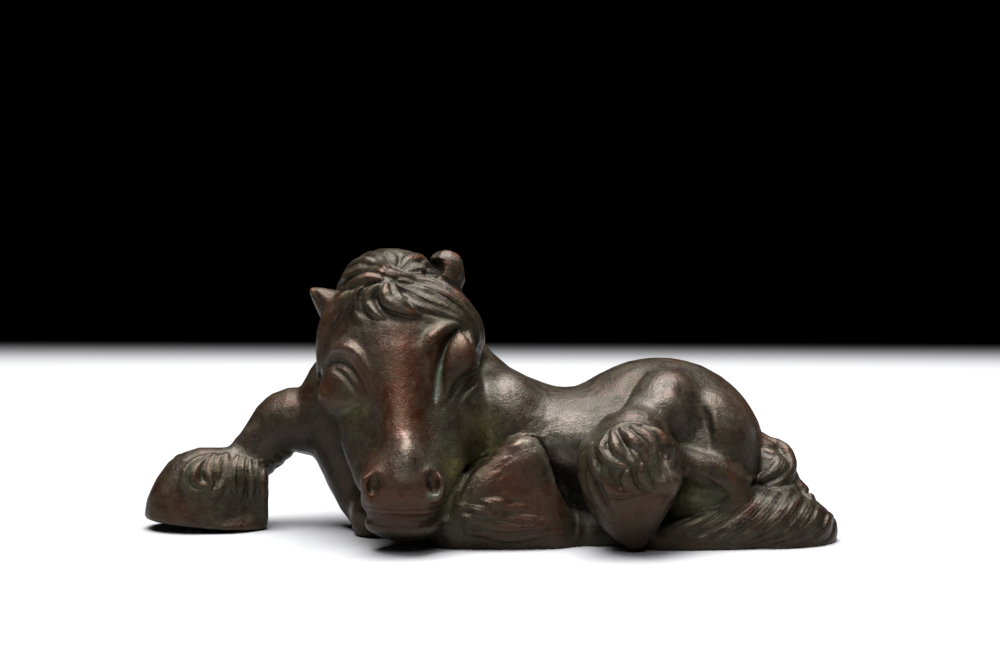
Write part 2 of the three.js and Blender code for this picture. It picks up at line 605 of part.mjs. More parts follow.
function solidOf({ index, attributes }) {
  const triVerts = Uint32Array.from(index.array);
  const vertProperties = attributes.position.array;
  return new wasm.Manifold(new wasm.Mesh({ numProp: 3, vertProperties, triVerts }));
}

// Cuts a geometry off flat at z = 0, which is the face the casting rests on.
function cutFlat(geometry) {
  const size = 400;
  const box = new THREE.BoxGeometry(size, size, size).translate(0, 0, -size / 2);
  const block = mergeVertices(box.deleteAttribute("normal").deleteAttribute("uv"));
  const cut = solidOf(geometry).subtract(solidOf(block)).getMesh();
  const made = new THREE.BufferGeometry()
    .setAttribute("position", new THREE.BufferAttribute(cut.vertProperties, 3))
    .setIndex(new THREE.BufferAttribute(cut.triVerts, 1));
  made.computeVertexNormals();
  return made;
}

const bronze = new THREE.MeshStandardMaterial({ color: 0x4a3a30, roughness: 0.42, metalness: 0.9 });

const horse = new THREE.Mesh(cutFlat(thin(relax(polygonize(sample(figure)), 3), triangleGoal)), bronze);
horse.name = "horse";

// The origin is the middle of the footprint's box, on the ground.
horse.geometry.computeBoundingBox();
const middle = horse.geometry.boundingBox.getCenter(new THREE.Vector3());
horse.position.set(-middle.x, -middle.y, 0);

const figurine = new THREE.Group();
figurine.add(horse);

export default figurine;
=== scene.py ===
import math

import bmesh
import bpy
import numpy as np
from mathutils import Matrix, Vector
from mathutils.bvhtree import BVHTree
from mathutils.kdtree import KDTree


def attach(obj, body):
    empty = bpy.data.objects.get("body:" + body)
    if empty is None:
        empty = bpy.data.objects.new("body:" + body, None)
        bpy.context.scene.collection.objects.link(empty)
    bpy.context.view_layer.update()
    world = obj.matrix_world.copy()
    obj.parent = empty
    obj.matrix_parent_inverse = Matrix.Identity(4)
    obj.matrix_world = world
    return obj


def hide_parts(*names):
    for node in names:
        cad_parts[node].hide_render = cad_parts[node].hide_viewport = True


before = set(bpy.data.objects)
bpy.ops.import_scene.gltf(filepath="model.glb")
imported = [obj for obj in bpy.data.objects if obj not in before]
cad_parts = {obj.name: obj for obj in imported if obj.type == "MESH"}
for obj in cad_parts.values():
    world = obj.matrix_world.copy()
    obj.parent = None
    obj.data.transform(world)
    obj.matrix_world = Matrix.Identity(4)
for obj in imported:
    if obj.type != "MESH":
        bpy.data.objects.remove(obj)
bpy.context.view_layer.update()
scene = bpy.context.scene
mm = 0.001

# The camera comes first: strokes on the skin are placed along its sight lines.
photoView = {
    "target": (0.00223, -0.00199, 0.0355),  # m, shown at the middle of the picture
    "distance": 0.52,
    "elevation": 7.0,  # degrees above the floor
    "focal": 3016.0,  # pixels
    "size": (1000, 667),  # pixels
}


def makeCamera(view):
    tilt = math.radians(view["elevation"])
    target = Vector(view["target"])
    lens = bpy.data.cameras.new("photoCamera")
    lens.sensor_width = 36.0
    lens.lens = view["focal"] * lens.sensor_width / view["size"][0]
    lens.clip_start = 0.01
    camera = bpy.data.objects.new("photoCamera", lens)
    camera.location = target + view["distance"] * Vector((0, -math.cos(tilt), math.sin(tilt)))
    camera.rotation_euler = (math.radians(90 - view["elevation"]), 0, 0)
    scene.collection.objects.link(camera)
    scene.camera = camera
    return camera


camera = makeCamera(photoView)
print("camera placed")


def sightLine(u, v):
    # direction in which picture pixel (u, v) looks
    tilt = math.radians(photoView["elevation"])
    across = float(u - photoView["size"][0] / 2) / photoView["focal"]
    upward = float(photoView["size"][1] / 2 - v) / photoView["focal"]
    ahead = Vector((0, math.cos(tilt), -math.sin(tilt)))
    up = Vector((0, math.sin(tilt), math.cos(tilt)))
    return (ahead + across * Vector((1, 0, 0)) + upward * up).normalized()


# The casting: one bronze skin, remade from the solid finely enough to carve.
casting = {
    "voxel": 0.26,  # mm
    "smoothing": 22,  # rounds, takes the facets off
    "triangles": 196000,  # after the thinning
    "settling": 3,  # rounds of smoothing after the thinning
}


def applied(piece):
    # the piece's mesh with its modifiers applied
    graph = bpy.context.evaluated_depsgraph_get()
    mesh = bpy.data.meshes.new_from_object(piece.evaluated_get(graph))
    piece.modifiers.clear()
    old = piece.data
    piece.data = mesh
    bpy.data.meshes.remove(old)


def remeshedHorse():
    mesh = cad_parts["horse"].data.copy()
    mesh.materials.clear()
    shape = bmesh.new()
    shape.from_mesh(mesh)
    bmesh.ops.remove_doubles(shape, verts=shape.verts, dist=1e-6)
    shape.to_mesh(mesh)
    shape.free()
    piece = bpy.data.objects.new("castHorse", mesh)
    scene.collection.objects.link(piece)
    remesh = piece.modifiers.new("fineSkin", "REMESH")
    remesh.mode = "VOXEL"
    remesh.voxel_size = casting["voxel"] * mm
    applied(piece)
    return piece


class Skin:
    # the piece's points in millimetres, with what is needed to push them about
    def __init__(self, piece):
        self.mesh = piece.data
        count = len(self.mesh.vertices)
        flat = np.empty(count * 3)
        self.mesh.vertices.foreach_get("co", flat)
        self.points = flat.reshape(-1, 3) / mm
        ends = np.empty(len(self.mesh.edges) * 2, dtype=np.int64)
        self.mesh.edges.foreach_get("vertices", ends)
        self.starts, self.stops = ends.reshape(-1, 2).T
        self.valence = np.bincount(self.starts, minlength=count) + np.bincount(self.stops, minlength=count)
        self.valence = np.maximum(self.valence, 1)
        self.renew()

    def around(self, values):
        # mean of each point's neighbours
        columns = values.reshape(len(values), -1)
        out = np.empty_like(columns)
        for k in range(columns.shape[1]):
            column = columns[:, k]
            total = np.bincount(self.starts, weights=column[self.stops], minlength=len(column))
            total += np.bincount(self.stops, weights=column[self.starts], minlength=len(column))
            out[:, k] = total / self.valence
        return out.reshape(values.shape)

    def spread(self, values, rounds):
        for _ in range(rounds):
            values = 0.5 * values + 0.5 * self.around(values)
        return values

    def relax(self, rounds):
        # smoothing that doesn't shrink
        for _ in range(rounds):
            self.points = self.points + 0.5 * (self.around(self.points) - self.points)
            self.points = self.points - 0.52 * (self.around(self.points) - self.points)
        self.renew()

    def renew(self):
        # writes the points back, and takes the normals and a tree for sight lines
        self.points[:, 2] = np.maximum(self.points[:, 2], 0.0)
        self.mesh.vertices.foreach_set("co", (self.points * mm).ravel())
        self.mesh.update()
        flat = np.empty(len(self.points) * 3)
        self.mesh.vertices.foreach_get("normal", flat)
        self.normals = flat.reshape(-1, 3)

    def tree(self):
        shape = bmesh.new()
        shape.from_mesh(self.mesh)
        tree = BVHTree.FromBMesh(shape)
        shape.free()
        return tree


piece = remeshedHorse()
skin = Skin(piece)
flatBase = skin.points[:, 2] < 0.12
skin.relax(casting["smoothing"])
skin.points[flatBase, 2] = 0.0
skin.renew()
skinTree = skin.tree()
print("skin of", len(skin.points), "points remade")


def rounded(path, count):
    # a smooth curve through the path's points, resampled
    points = np.array(path, dtype=float)
    padded = np.vstack([2 * points[0] - points[1], points, 2 * points[-1] - points[-2]])
    out = []
    for t in np.linspace(0, len(points) - 1, count):
        k = min(int(t), len(points) - 2)
        f = t - k
        a, b, c, d = padded[k : k + 4]
        out.append(
            0.5 * (2 * b + (c - a) * f + (2 * a - 5 * b + 4 * c - d) * f * f + (3 * b - a - 3 * c + d) * f**3)
        )
    return np.array(out)


aim = {"from": "photo"}  # where a path is seen from, and what its two numbers are


def sight(a, b):
    # start and direction of the line to a path's point
    if aim["from"] == "behind":  # mm along x and z
        return Vector((a * mm, 0.1, b * mm)), Vector((0, -1, 0))
    if aim["from"] == "above":  # mm along x and y
        return Vector((a * mm, b * mm, 0.1)), Vector((0, 0, -1))
    return camera.location, sightLine(a, b)  # picture pixels


def onSkin(path, count=14):
    # where a path's sight lines meet the skin, drawn smooth: points in mm and normals
    places, met = [], False
    depth = photoView["distance"] if aim["from"] == "photo" else 0.08
    for a, b in rounded(path, count):
        start, line = sight(float(a), float(b))
        place, _, _, distance = skinTree.ray_cast(start, line)
        if place is None or (met and abs(distance - depth) > 0.006):
            place = skinTree.find_nearest(start + line * depth)[0]
        else:
            depth, met = distance, True
        places.append(place / mm)
    places = np.array(places)
    for _ in range(3):
        places[1:-1] = (places[:-2] + 2 * places[1:-1] + places[2:]) / 4
    snapped = [skinTree.find_nearest(Vector(place) * mm)[:2] for place in places]
    return np.array([place / mm for place, _ in snapped]), np.array([facing for _, facing in snapped])


def nearPath(places, facings, reach):
    # skin points within reach of a path: their number, distance to its left or right, and share of the way
    near = np.flatnonzero(np.all((skin.points > places.min(0) - reach) & (skin.points < places.max(0) + reach), axis=1))
    spots = skin.points[near]
    best = np.full(len(near), 1e9)
    share, side = np.zeros(len(near)), np.zeros(len(near))
    facing = np.zeros((len(near), 3))
    steps = len(places) - 1
    for k in range(steps):
        leg = places[k + 1] - places[k]
        t = np.clip((spots - places[k]) @ leg / max(leg @ leg, 1e-9), 0, 1)
        off = spots - places[k] - t[:, None] * leg
        gap = np.linalg.norm(off, axis=1)
        better = gap < best
        best = np.where(better, gap, best)
        share = np.where(better, (k + t) / steps, share)
        side = np.where(better, np.sign(off @ np.cross(facings[k], leg)), side)
        facing = np.where(better[:, None], facings[k], facing)
    kept = (best < reach) & (np.einsum("ij,ij->i", skin.normals[near], facing) > 0.0)
    return near[kept], best[kept] * np.where(side[kept] < 0, -1, 1), share[kept]


def slimmed(share, ends):
    # 1 in the middle of a stroke, falling to ends[0] at its start and ends[1] at its tip
    start = ends[0] + (1 - ends[0]) * np.clip(share / 0.3, 0, 1) ** 0.8
    tip = ends[1] + (1 - ends[1]) * np.clip((1 - share) / 0.45, 0, 1) ** 0.8
    return np.minimum(start, tip)


def addLocks(strokes, width, rise, ends=(0.5, 0.15), groove=0.35):
    # raised locks side by side: the highest one shows, with a cut along their outer edges
    up, down = np.zeros(len(skin.points)), np.zeros(len(skin.points))
    for path in strokes:
        near, side, share = nearPath(*onSkin(path), width)
        slim = slimmed(share, ends)
        q = np.abs(side) / (0.5 * width * slim)
        lock = np.where(q < 1, rise * slim * (1 - q * q), 0)
        higher = lock > up[near]
        strandSide[near[higher]] = side[higher]
        up[near] = np.maximum(up[near], lock)
        down[near] = np.maximum(down[near], groove * rise * slim * np.exp(-(((q - 1.15) / 0.35) ** 2)))
    skin.points += skin.normals * np.where(up > 0.02, up, -down)[:, None]
    hairCover[:] = np.maximum(hairCover, np.clip(2 * up / rise, 0, 1))


def addGrooves(strokes, width, depth, ends=(0.4, 0.2)):
    # V cuts with softly raised lips
    cut = np.zeros(len(skin.points))
    for path in strokes:
        near, side, share = nearPath(*onSkin(path), width)
        q = np.abs(side) / (0.5 * width * slimmed(share, ends))
        cut[near] = np.maximum(cut[near], depth * slimmed(share, ends) * np.clip(1 - q, 0, 1) ** 1.3)
    skin.points -= skin.normals * cut[:, None]


def addSwells(strokes, width, rise, ends=(0.6, 0.6)):
    # soft forms: raised, or pressed in where rise is negative
    for path in strokes:
        near, side, share = nearPath(*onSkin(path), width)
        q = side / (0.45 * width * slimmed(share, ends))
        skin.points[near] += skin.normals[near] * (rise * slimmed(share, ends) * np.exp(-q * q))[:, None]


def addFolds(strokes, width, rise, edge=0.35, ends=(0.3, 0.3)):
    # one side swells up to the line and drops sharply at it; a negative rise swells the other side
    for path in strokes:
        near, side, share = nearPath(*onSkin(path), width)
        side = side * np.sign(rise)
        slim = slimmed(share, ends)
        face = np.where(side > 0, np.exp(-((side / (0.45 * width)) ** 2)), np.exp(-((side / edge) ** 2)))
        skin.points[near] += skin.normals[near] * (abs(rise) * slim * face)[:, None]


def calm(paths, width, rounds):
    # smooths what lies under a broad brush
    brush = np.zeros(len(skin.points))
    for path in paths:
        near, side, share = nearPath(*onSkin(path), width)
        brush[near] = np.maximum(brush[near], np.exp(-((side / (0.5 * width)) ** 4)))
    brush = brush[:, None]
    for _ in range(rounds):
        skin.points += 0.6 * brush * (skin.around(skin.points) - skin.points)
    skin.renew()


def pull(paths, width, shift):
    # drags the skin under a brush by shift in mm, right and up in the picture
    for path in paths:
        near, side, share = nearPath(*onSkin(path), width)
        skin.points[near] += np.exp(-((side / (0.5 * width)) ** 2))[:, None] * np.array([shift[0], 0, shift[1]])
    skin.renew()


def addDome(outline, rise, shoulder):
    # a form with rounded shoulders inside an outline in the picture; a negative rise sinks it
    loop = rounded(outline + outline[:2], 8 * len(outline))[: -8 * len(outline) // (len(outline) + 1)]
    tilt = math.radians(photoView["elevation"])
    ahead = np.array([0, math.cos(tilt), -math.sin(tilt)])
    upward = np.array([0, math.sin(tilt), math.cos(tilt)])
    eye = np.array(camera.location) / mm
    middle = skinTree.ray_cast(camera.location, sightLine(*loop.mean(0)))[3] / mm
    fromEye = skin.points - eye
    depth = fromEye @ ahead
    across = photoView["size"][0] / 2 + photoView["focal"] * fromEye[:, 0] / depth
    down = photoView["size"][1] / 2 - photoView["focal"] * (fromEye @ upward) / depth
    low, high = loop.min(0), loop.max(0)
    near = (across > low[0]) & (across < high[0]) & (down > low[1]) & (down < high[1])
    near &= (np.abs(depth - middle) < 7) & (skin.normals @ ahead < 0.1)
    near = np.flatnonzero(near)
    a, b = across[near], down[near]
    inside, gap = np.zeros(len(near), dtype=bool), np.full(len(near), 1e9)
    for k in range(len(loop)):
        (x0, y0), (x1, y1) = loop[k - 1], loop[k]
        inside ^= ((y0 > b) != (y1 > b)) & (a < (x1 - x0) * (b - y0) / (y1 - y0 + 1e-9) + x0)
        t = np.clip(((a - x0) * (x1 - x0) + (b - y0) * (y1 - y0)) / ((x1 - x0) ** 2 + (y1 - y0) ** 2 + 1e-9), 0, 1)
        gap = np.minimum(gap, np.hypot(a - x0 - t * (x1 - x0), b - y0 - t * (y1 - y0)))
    q = np.clip(gap * photoView["distance"] / mm / photoView["focal"] / shoulder, 0, 1)
    form = np.where(inside, rise * np.sqrt(np.clip(1 - (1 - q) ** 2, 0, 1)), 0)
    skin.points[near] += skin.normals[near] * form[:, None]
    skin.renew()


hairCover = np.zeros(len(skin.points))  # 1 on locks of hair
strandSide = np.zeros(len(skin.points))  # mm from the middle of a lock

# Forms that the solid has only roughly. Widths and heights in mm, paths in picture pixels.
face = {
    "rough": [[(332, 362), (350, 374), (362, 392)], [(450, 334), (462, 352), (452, 376)]],
    "roughEye": [[(328, 372), (336, 384), (348, 396)], [(324, 386), (334, 400), (350, 404)]],
    "leftLid": [(319, 395), (324, 381), (330, 367), (339, 371), (350, 383), (360, 398), (351, 404), (337, 408), (325, 405)],
    "roughNose": [[(372, 468), (373, 496)], [(434, 466), (433, 496)]],
    "betweenNostrils": [[(384, 472), (404, 470), (423, 471)], [(388, 484), (418, 483)]],
    "chinSide": [[(364, 526), (368, 536)]],
    "chinSideRight": [[(446, 522), (442, 534)]],
    "roughNoseTop": [[(364, 468), (378, 463)], [(424, 463), (442, 467)]],
    "roughCheek": [[(436, 408), (434, 424), (432, 442)]],
    "lipGap": [[(366, 520), (384, 524), (405, 525), (426, 523), (446, 517)]],
    "roughLips": [[(364, 504), (385, 512), (424, 511), (446, 502)], [(366, 518), (385, 522), (424, 521), (446, 515)]],
    "lipSides": [[(365, 505), (367, 516), (371, 524)]],
    "lipSidesRight": [[(446, 500), (446, 510), (444, 520)]],
    "underChin": [[(384, 541), (400, 544), (416, 544), (430, 541)]],
    "leftBrow": [[(327, 361), (332, 352), (343, 347), (354, 350), (363, 359), (369, 372)]],
    "leftCrease": [[(331, 361), (341, 360), (352, 368), (361, 382), (368, 397)]],
    "leftRidge": [[(332, 367), (345, 370), (355, 382), (363, 396), (369, 406)]],
    "leftCorner": [[(322, 394), (328, 399)]],
    "leftUnder": [[(320, 399), (326, 408), (337, 412), (350, 408), (360, 400)]],
    "rightBrow": [[(424, 350), (430, 340), (438, 333), (447, 327), (457, 324)]],
    "rightBrowEdge": [[(428, 352), (429, 368), (431, 384), (432, 398)]],
    "rightCrease": [[(456, 331), (449, 342), (443, 355), (439, 371), (437, 387), (435, 402)]],
    "rightLid": [(459, 329), (467, 339), (475, 355), (477, 364), (469, 370), (459, 377), (451, 387), (446, 393), (443, 382), (444, 364), (449, 346)],
    "rightUnder": [[(478, 368), (468, 374), (458, 382), (450, 392), (444, 402)]],
    "rightFolds": [[(474, 378), (465, 384), (457, 394)], [(478, 386), (470, 393), (463, 402)]],
    "bridge": [[(402, 350), (403, 385), (404, 420)]],
    "noseTop": [[(406, 441), (409, 452), (408, 462)]],
    "muzzle": [[(372, 466), (386, 461), (405, 462), (424, 461), (437, 466)]],
    "leftNostril": [(369, 478), (373, 473), (378, 477), (380, 486), (377, 493), (371, 494), (367, 488)],
    "rightNostril": [(428, 475), (433, 471), (438, 475), (440, 485), (437, 494), (431, 492), (427, 483)],
    "rims": [
        [(383, 474), (374, 468), (365, 475), (363, 487), (368, 498), (378, 498), (384, 489)],
        [(424, 473), (432, 467), (441, 471), (445, 483), (441, 496), (431, 497), (424, 487)],
    ],
    "lipEdges": [
        [(366, 505), (380, 508), (405, 509), (430, 507), (444, 502)],
        [(371, 523), (385, 526), (405, 527), (426, 525), (442, 521)],
    ],
    "mouth": [[(364, 511), (376, 515), (392, 517), (412, 517), (432, 514), (448, 509)]],
    "jowl": [[(480, 453), (470, 461), (460, 469), (452, 480)]],
    "cheekFolds": [[(497, 449), (487, 453), (476, 460)], [(494, 458), (482, 462), (470, 470)]],
}
calm(face["rough"], 6.5, 60)
calm(face["roughEye"], 6.0, 120)
calm(face["roughNose"], 5.0, 90)
calm(face["roughNoseTop"], 5.0, 120)
calm(face["roughCheek"], 4.0, 50)
addSwells(face["lipGap"], 2.6, 0.8, ends=(0.9, 0.9))
skin.renew()
calm(face["roughLips"], 3.6, 80)
pull(face["underChin"], 6.0, (0.0, 1.1))
calm(face["underChin"], 4.0, 30)
pull(face["chinSide"], 3.5, (0.9, 0.0))
pull(face["chinSideRight"], 3.5, (-0.6, 0.0))
pull(face["lipSides"], 3.0, (-0.5, 0.0))
pull(face["lipSidesRight"], 3.0, (0.3, 0.0))
addSwells(face["leftBrow"], 2.6, 0.75, ends=(0.3, 0.2))
addSwells(face["rightBrow"], 2.7, 0.8, ends=(0.2, 0.95))
skin.renew()
addGrooves(face["leftCrease"], 1.6, 0.5, ends=(0.5, 0.3))
addSwells(face["leftRidge"], 1.3, 0.45, ends=(0.6, 0.3))
addSwells(face["rightBrowEdge"], 1.5, 0.25, ends=(0.6, 0.3))
addSwells(face["rightCrease"], 1.5, -0.6, ends=(0.8, 0.3))
skin.renew()
addDome(face["leftLid"], 0.65, 1.0)
addSwells(face["leftCorner"], 2.4, 0.4)
addDome(face["rightLid"], 1.1, 1.3)
addFolds(face["leftUnder"], 2.2, 0.4)
addFolds(face["rightUnder"], 2.4, -0.5)
addSwells(face["rightFolds"], 1.0, 0.3)
addSwells(face["bridge"], 6.0, 0.15)
addSwells(face["betweenNostrils"], 6.0, 0.4)
addSwells(face["noseTop"], 5.0, 0.75)
addSwells(face["muzzle"], 4.0, 0.35)
addSwells(face["rims"], 1.3, 0.14, ends=(0.8, 0.8))
skin.renew()
addDome(face["leftNostril"], -0.5, 1.0)
addDome(face["rightNostril"], -0.65, 1.0)
addGrooves(face["lipEdges"], 0.9, 0.18, ends=(0.7, 0.7))
addGrooves(face["mouth"], 1.3, 0.55, ends=(0.8, 0.8))
addFolds(face["jowl"], 3.0, -0.35, edge=0.6)
addSwells(face["cheekFolds"], 0.9, 0.3)
skin.renew()
print("face carved")

forelock = {
    "bare": [[(340, 262), (360, 262), (389, 258)], [(345, 290), (360, 292), (380, 300)], [(400, 286), (440, 300), (470, 318)]],
    "over": [[(376, 271), (390, 273), (408, 278), (432, 285), (455, 297), (470, 315)]],
    "crown": [
        [(389, 266), (382, 260), (372, 254), (361, 254), (350, 260)],
        [(385, 269), (375, 263), (361, 260), (349, 265), (341, 274)],
        [(382, 273), (371, 269), (358, 270), (346, 276), (336, 286)],
        [(381, 279), (370, 277), (357, 280), (345, 288), (335, 299)],
        [(395, 264), (391, 257), (384, 252), (374, 249)],
        [(402, 267), (409, 260), (418, 256), (429, 258)],
        [(406, 271), (416, 267), (428, 268), (442, 274)],
    ],
    "sweep": [
        [(400, 281), (416, 285), (434, 292), (452, 300), (467, 313), (474, 327)],
        [(396, 285), (409, 292), (426, 300), (447, 307), (465, 318)],
        [(397, 290), (411, 301), (427, 308), (449, 314), (466, 325)],
    ],
    "centre": [
        [(387, 284), (384, 292), (388, 302), (400, 309), (413, 314)],
        [(394, 285), (394, 293), (400, 301), (411, 308)],
        [(378, 286), (369, 293), (368, 304), (375, 313), (384, 319)],
    ],
    "short": [
        [(366, 285), (357, 293), (357, 303), (366, 314)],
        [(356, 289), (349, 298), (347, 309)],
        [(348, 292), (339, 302), (336, 313)],
    ],
    "mane": [
        [(468, 300), (477, 314), (484, 332), (487, 350)],
        [(466, 308), (473, 322), (479, 338), (481, 356)],
        [(462, 316), (468, 330), (473, 344)],
    ],
    "edge": [
        [(349, 291), (337, 305), (327, 321), (320, 341), (316, 361)],
        [(345, 300), (334, 316), (327, 333), (323, 350)],
    ],
    "nearEar": [[(433, 263), (437, 270), (436, 280)]],
    "earHollow": [(424, 267), (433, 260), (441, 260), (444, 270), (436, 278), (424, 275)],
    "ear": [(437, 256), (443, 250), (452, 249), (459, 253), (461, 262), (461, 276), (454, 283), (444, 279), (439, 268)],
    "earSide": [[(457, 258), (459, 268), (460, 280)]],
    "earTop": [[(437, 259), (442, 253), (450, 251)]],
    "leftEarFold": [[(314, 292), (319, 301), (325, 313)]],
}
calm(forelock["bare"], 5.0, 30)
pull(forelock["earSide"], 3.4, (0.7, 0.0))
pull(forelock["earTop"], 3.4, (-0.9, 0.4))
addDome(forelock["ear"], 0.3, 0.7)
addDome(forelock["earHollow"], -0.8, 1.1)
addGrooves(forelock["leftEarFold"], 1.6, 0.4)
for name, width, rise in (
    ("edge", 1.8, 0.35),
    ("mane", 2.0, 0.3),
    ("over", 2.6, 0.5),
    ("crown", 2.5, 0.55),
    ("sweep", 2.4, 0.55),
    ("short", 2.1, 0.65),
    ("centre", 2.6, 1.0),
):
    addLocks(forelock[name], width, rise, ends=(0.45, 0.25))
    skin.renew()
skinTree = skin.tree()
print("forelock and mane carved")

feathers = {
    "hoof": [
        [(211, 454), (196, 461), (186, 470), (183, 482), (190, 493)],
        [(209, 457), (199, 465), (194, 474), (196, 483), (203, 486)],
        [(215, 454), (209, 464), (208, 474), (213, 483)],
        [(221, 455), (217, 466), (220, 480)],
        [(226, 454), (227, 468), (223, 484), (214, 495)],
        [(238, 456), (235, 468), (233, 481), (236, 493)],
        [(244, 458), (242, 470), (244, 481), (239, 494)],
        [(250, 460), (250, 472), (252, 484), (249, 499)],
        [(257, 462), (257, 476), (259, 491)],
        [(264, 467), (263, 482), (263, 499)],
    ],
    "fetlock": [
        [(262, 460), (271, 467), (273, 476)],
        [(271, 457), (282, 462), (281, 471)],
        [(281, 453), (291, 457), (290, 465)],
    ],
    "bare": [[(612, 440), (640, 445), (660, 450)], [(595, 460), (592, 490), (606, 515)], [(625, 475), (640, 482)]],
    "hanging": [
        [(601, 440), (593, 451), (592, 465), (599, 478), (610, 487)],
        [(593, 444), (583, 463), (585, 487), (598, 506)],
        [(589, 462), (591, 486), (603, 507), (613, 522)],
        [(607, 460), (605, 477), (614, 491), (628, 493)],
        [(606, 436), (600, 449), (609, 461), (626, 467)],
        [(612, 432), (615, 446), (624, 457), (633, 463)],
        [(621, 429), (632, 439), (643, 448), (647, 459)],
        [(632, 427), (646, 435), (655, 445), (655, 461)],
        [(646, 428), (659, 436), (667, 448), (667, 458)],
        [(628, 470), (627, 482), (637, 491)],
        [(642, 465), (643, 477), (650, 488)],
    ],
    "cuff": [[(600, 437), (613, 427), (631, 423), (650, 426), (665, 435)]],
    "coronet": [[(602, 512), (622, 503), (645, 496), (664, 489), (681, 477)]],
    "folded": [
        [(517, 447), (494, 453), (474, 466), (459, 482), (453, 496)],
        [(510, 457), (489, 467), (472, 482), (461, 500)],
        [(500, 472), (482, 484), (471, 499)],
        [(461, 516), (478, 521), (500, 527), (524, 530), (545, 524)],
        [(459, 505), (480, 511), (502, 518), (530, 520), (556, 521)],
        [(478, 500), (496, 505), (515, 507), (533, 511)],
        [(466, 531), (490, 535), (515, 537), (540, 533), (562, 530)],
    ],
}
calm(feathers["bare"], 6.0, 25)
for name, width, rise in (("hoof", 2.3, 0.65), ("fetlock", 1.8, 0.3), ("hanging", 2.5, 0.7), ("folded", 2.3, 0.3)):
    addLocks(feathers[name], width, rise, ends=(0.4, 0.35))
    skin.renew()
addFolds(feathers["cuff"], 2.4, -0.3)
addFolds(feathers["coronet"], 1.6, 0.15)
skin.renew()
print("feathers carved")

tail = {
    "strands": [
        [(756, 488), (739, 505), (714, 522), (686, 536)],
        [(766, 490), (752, 508), (728, 526), (700, 539)],
        [(777, 493), (764, 511), (742, 528), (714, 541)],
        [(789, 494), (777, 514), (757, 530), (732, 542)],
        [(800, 496), (790, 516), (772, 532), (750, 542)],
        [(811, 501), (803, 519), (788, 534), (770, 542)],
        [(822, 508), (815, 524), (803, 537), (790, 542)],
        [(831, 515), (827, 529), (815, 540)],
        [(742, 496), (722, 511), (698, 523), (674, 531)],
    ],
    "curls": [
        [(764, 435), (778, 440), (790, 452), (794, 469), (784, 481), (768, 486)],
        [(767, 450), (779, 456), (782, 466), (768, 476), (749, 481)],
        [(793, 462), (799, 478), (806, 491), (815, 501)],
    ],
}
addLocks(tail["strands"], 2.7, 0.42, ends=(0.6, 0.4))
skin.renew()
addLocks(tail["curls"], 2.8, 0.55, ends=(0.6, 0.4))
skin.renew()
print("tail carved")

body = {
    "ledge": [[(553, 447), (562, 444), (574, 442), (590, 444)]],
    "legEdge": [[(531, 442), (543, 456), (552, 475), (563, 500), (572, 521), (577, 534)]],
    "roughHip": [[(670, 383), (690, 391)], [(652, 402), (668, 412), (684, 420)], [(499, 378), (513, 392)], [(700, 450), (714, 457)], [(640, 372), (628, 392)]],
    "flare": [[(550, 449), (570, 447), (592, 449)]],
    "kneeCap": [[(513, 448), (522, 443), (532, 444)]],
    "roughGaskin": [[(688, 462), (705, 470), (726, 484)], [(690, 492), (712, 498), (732, 500)]],
    "gaskin": [[(682, 454), (698, 460), (714, 467), (727, 476), (735, 487)]],
    "underGaskin": [[(690, 470), (706, 476), (720, 484), (730, 494)]],
    "gaskinFill": [[(684, 494), (708, 499), (732, 500)]],
    "stripEdge": [[(668, 513), (690, 513), (712, 512), (738, 506)]],
    "haunchTop": [[(660, 404), (676, 408), (692, 414)]],
    "haunchGroove": [[(684, 394), (694, 402), (704, 417), (709, 433), (710, 448)]],
    "haunchRidge": [[(684, 398), (696, 412), (703, 430), (704, 448)]],
    "flankFold": [[(645, 375), (634, 386), (628, 400), (618, 413)]],
    "footBulb": [[(661, 484), (673, 481)]],
    "arm": [[(233, 442), (243, 436), (255, 430)]],
}
calm(body["roughHip"], 6.0, 50)
addSwells(body["flare"], 12.0, 1.9, ends=(0.9, 0.9))
skin.renew()
addFolds(body["ledge"], 1.7, 0.7, ends=(0.6, 0.3))
addFolds(body["legEdge"], 2.4, 0.6)
addSwells(body["kneeCap"], 3.0, 0.5)
calm(body["roughGaskin"], 6.0, 50)
addSwells(body["gaskinFill"], 5.0, 0.9)
skin.renew()
addSwells(body["gaskin"], 6.5, 1.1, ends=(0.4, 0.7))
addFolds(body["underGaskin"], 2.6, 0.4)
addFolds(body["stripEdge"], 2.0, 0.5)
addSwells(body["haunchTop"], 8.0, 0.9)
skin.renew()
addSwells(body["haunchGroove"], 2.6, -0.5, ends=(0.1, 0.4))
addSwells(body["haunchRidge"], 4.0, 0.4)
addGrooves(body["flankFold"], 3.0, 0.3)
addSwells(body["arm"], 3.0, 0.35)
addSwells(body["footBulb"], 6.5, 2.4)
skin.renew()
print("body carved")

# Sides that the photo doesn't show: mane down the neck, tail, feathers and hooves, plainer.
hidden = {
    "maneLocks": 15,
    "pollLocks": 6,
    "maneFrom": (-15.5, 45.5),  # mm along x and z, at the poll
    "maneTo": (1.0, 19.0),  # at the withers
    "tailLocks": 6,
    "heelLocks": 7,
    "hindLocks": 5,
}
aim["from"] = "behind"
skinTree = skin.tree()
crest = []
for k in range(hidden["maneLocks"]):
    t = k / (hidden["maneLocks"] - 1)
    x = hidden["maneFrom"][0] + t * (hidden["maneTo"][0] - hidden["maneFrom"][0])
    z = hidden["maneFrom"][1] + t * (hidden["maneTo"][1] - hidden["maneFrom"][1]) + 3 * math.sin(math.pi * t)
    long = 1 + 0.2 * math.sin(5.0 * k)
    crest.append([(x - 2, z + 1), (x + 2.0 * long, z - 1.2), (x + 5.0 * long, z - 5.0), (x + 6.4 * long, z - 10.5)])
addLocks(crest, 2.5, 0.6, ends=(0.6, 0.3), groove=0.6)
skin.renew()
fan = []
